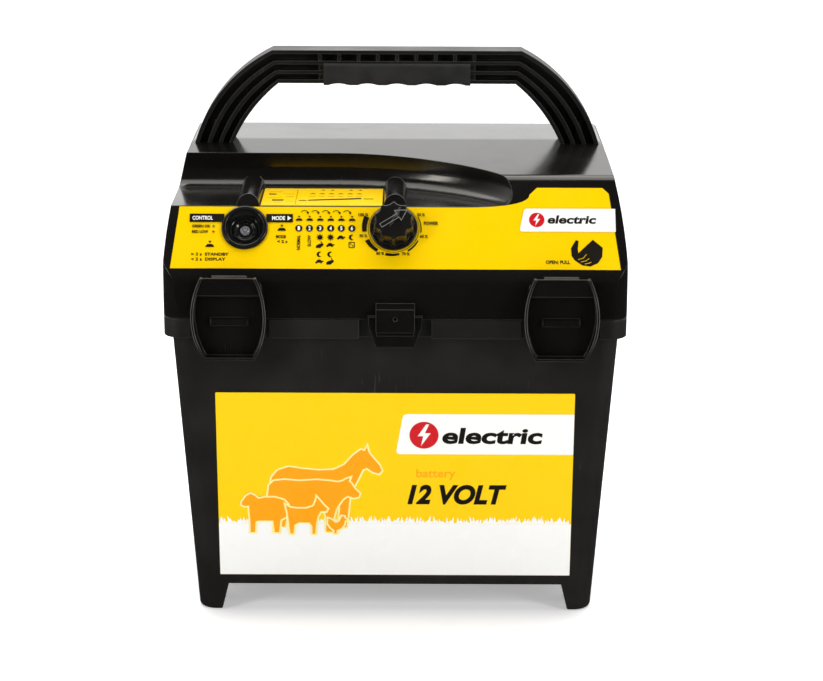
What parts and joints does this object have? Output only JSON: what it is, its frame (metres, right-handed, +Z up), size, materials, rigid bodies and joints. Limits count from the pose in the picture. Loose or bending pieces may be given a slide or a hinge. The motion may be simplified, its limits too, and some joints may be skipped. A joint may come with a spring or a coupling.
{
  "type": "fence energizer",
  "caption": "Portable battery-powered electric fence energizer: black footed battery box with hinged lid, front latches, carrying handle and sloping yellow control panel.",
  "frame": {"origin": "on the ground under the middle of the bounding box", "axes": "+Z up, front panel and latches face -Y, +X to the right seen from the front"},
  "size_m": [0.3, 0.216, 0.3645],
  "materials": {
    "box_plastic": "satin charcoal-black moulded polypropylene, lightly worn",
    "lid_plastic": "glossy black moulded plastic",
    "latch_plastic": "satin black moulded plastic",
    "grip_rubber": "matt black soft grip",
    "seal_rubber": "black foam rubber seal",
    "label_film": "printed vinyl film, yellow ground",
    "knob_plastic": "satin black moulded knob",
    "bezel_plastic": "glossy black bezel",
    "lens": "clear domed light guide",
    "spring_steel": "bright spring wire",
    "steel": "zinc-plated steel",
    "stainless": "stainless steel",
    "circuit_board": "green solder-masked board",
    "black_component": "moulded black component body",
    "metal_component": "bare aluminium",
    "core_iron": "varnished laminated iron",
    "copper_wire": "enamelled copper winding under tape",
    "capacitor_film": "blue sleeved capacitor can",
    "battery_case": "dark grey polypropylene battery case",
    "battery_cover": "black battery cover",
    "lead": "dull lead",
    "fence_red": "red terminal nut",
    "earth_green": "green terminal nut"
  },
  "bodies": {
    "box": {"battery_box": "box_plastic", "hinge_pins": "stainless", "front_label": "label_film", "battery_case": "battery_case", "battery_cover": "battery_cover", "vent_caps": "battery_cover", "battery_post_plus": "lead", "battery_post_minus": "lead"},
    "lid": {"lid_shell": "lid_plastic", "handle_frame": "lid_plastic", "handle_grip": "grip_rubber", "handle_screws": "steel", "latch_pin_left": "latch_plastic", "latch_pin_right": "latch_plastic", "control_label": "label_film", "display_label": "label_film", "selector_body": "black_component", "selector_nut": "steel", "button_bezel": "bezel_plastic", "button_spring": "spring_steel", "push_switch": "black_component", "control_board": "circuit_board", "control_posts": "lid_plastic", "status_leds": "lens", "electronics_cover": "box_plastic", "cover_gasket": "seal_rubber", "cover_screws": "steel", "rim_seal": "seal_rubber", "lead_gland": "seal_rubber", "main_board": "circuit_board", "board_spacers": "metal_component", "board_screws": "steel", "transformer_core": "core_iron", "transformer_coil": "copper_wire", "storage_capacitor": "capacitor_film", "capacitor_clips": "black_component", "charging_choke": "copper_wire", "heat_sink": "metal_component", "power_switches": "black_component", "fence_stud": "stainless", "earth_stud": "stainless", "terminal_washers": "stainless", "adapter_socket": "black_component", "socket_nut": "metal_component"},
    "latch_left": {"latch_left": "latch_plastic", "latch_hook_left": "latch_plastic"},
    "latch_right": {"latch_right": "latch_plastic", "latch_hook_right": "latch_plastic"},
    "knob": {"power_knob": "knob_plastic", "knob_shaft": "metal_component"},
    "button": {"mode_button": "bezel_plastic", "button_lens": "lens"},
    "fence_nut": {"fence_nut": "fence_red"},
    "earth_nut": {"earth_nut": "earth_green"},
    "socket_cap": {"socket_cap": "grip_rubber"}
  },
  "joints": [
    {"name": "lid_hinge", "type": "hinge", "parent": "box", "child": "lid", "pos_m": [0, 0.101, 0.21], "axis": [-1, 0, 0], "range_deg": [0, 100], "deforming": ["latch_hook_left", "latch_hook_right"]},
    {"name": "latch_left_pull", "type": "hinge", "parent": "lid", "child": "latch_left", "pos_m": [-0.1065, -0.099, 0.2335], "axis": [-1, 0, 0], "range_deg": [0, 50]},
    {"name": "latch_right_pull", "type": "hinge", "parent": "lid", "child": "latch_right", "pos_m": [0.1065, -0.099, 0.2335], "axis": [-1, 0, 0], "range_deg": [0, 50]},
    {"name": "knob_turn", "type": "hinge", "parent": "lid", "child": "knob", "pos_m": [-0.0013, -0.07412, 0.26496], "axis": [0, 0.8049, -0.5934], "range_deg": [0, 246]},
    {"name": "button_press", "type": "slide", "parent": "lid", "child": "button", "axis": [0, 0.8049, -0.5934], "range_m": [0, 0.0015], "stiffness_N_per_m": 900, "springref_m": -0.0004, "deforming": ["button_spring"]},
    {"name": "fence_nut_turn", "type": "hinge", "parent": "lid", "child": "fence_nut", "pos_m": [0.048, 0.1, 0.255], "axis": [0, 1, 0], "range_deg": [0, 360]},
    {"name": "earth_nut_turn", "type": "hinge", "parent": "lid", "child": "earth_nut", "pos_m": [0.088, 0.1, 0.255], "axis": [0, 1, 0], "range_deg": [0, 360]},
    {"name": "socket_cap_swing", "type": "hinge", "parent": "lid", "child": "socket_cap", "pos_m": [-0.062, 0.0993, 0.2685], "axis": [1, 0, 0], "range_deg": [0, 110]}
  ]
}
